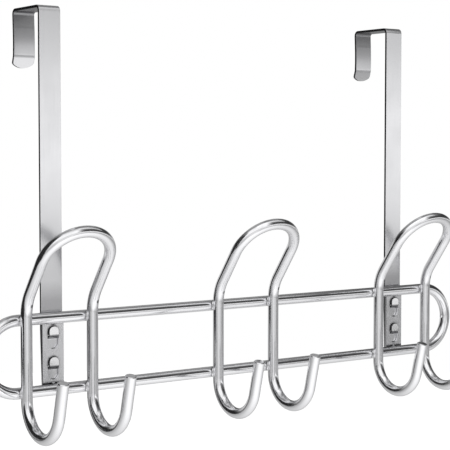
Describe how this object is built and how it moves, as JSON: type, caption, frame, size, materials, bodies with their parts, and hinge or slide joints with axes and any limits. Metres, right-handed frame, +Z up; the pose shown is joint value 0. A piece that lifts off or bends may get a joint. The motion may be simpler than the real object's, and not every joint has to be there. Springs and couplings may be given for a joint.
{
  "type": "over door hook",
  "caption": "Over-door rack of polished steel: folded sheet straps carry a looped wire frame with welded bent-wire hooks, each with a leaning loop above and upturned cups below.",
  "frame": {"origin": "on the door's top edge, midway between the two straps, in the plane of the door's front face and of the undersides of the folds", "axes": "+X along the door to the right as seen from the front, +Y from the room through the door, +Z up"},
  "size_m": [0.4364, 0.1085, 0.2964],
  "materials": {
    "wire": "drawn stainless steel wire, bent, welded and polished bright",
    "strap": "stainless steel strip, sheared, folded and polished to a soft sheen",
    "plate": "punched stainless steel plate, polished to a soft sheen"
  },
  "bodies": {
    "root": {"frame_loop": "wire", "hook_left": "wire", "hook_centre": "wire", "hook_right": "wire", "strap_left": "strap", "strap_right": "strap", "plate_left": "plate", "plate_right": "plate"}
  },
  "joints": []
}
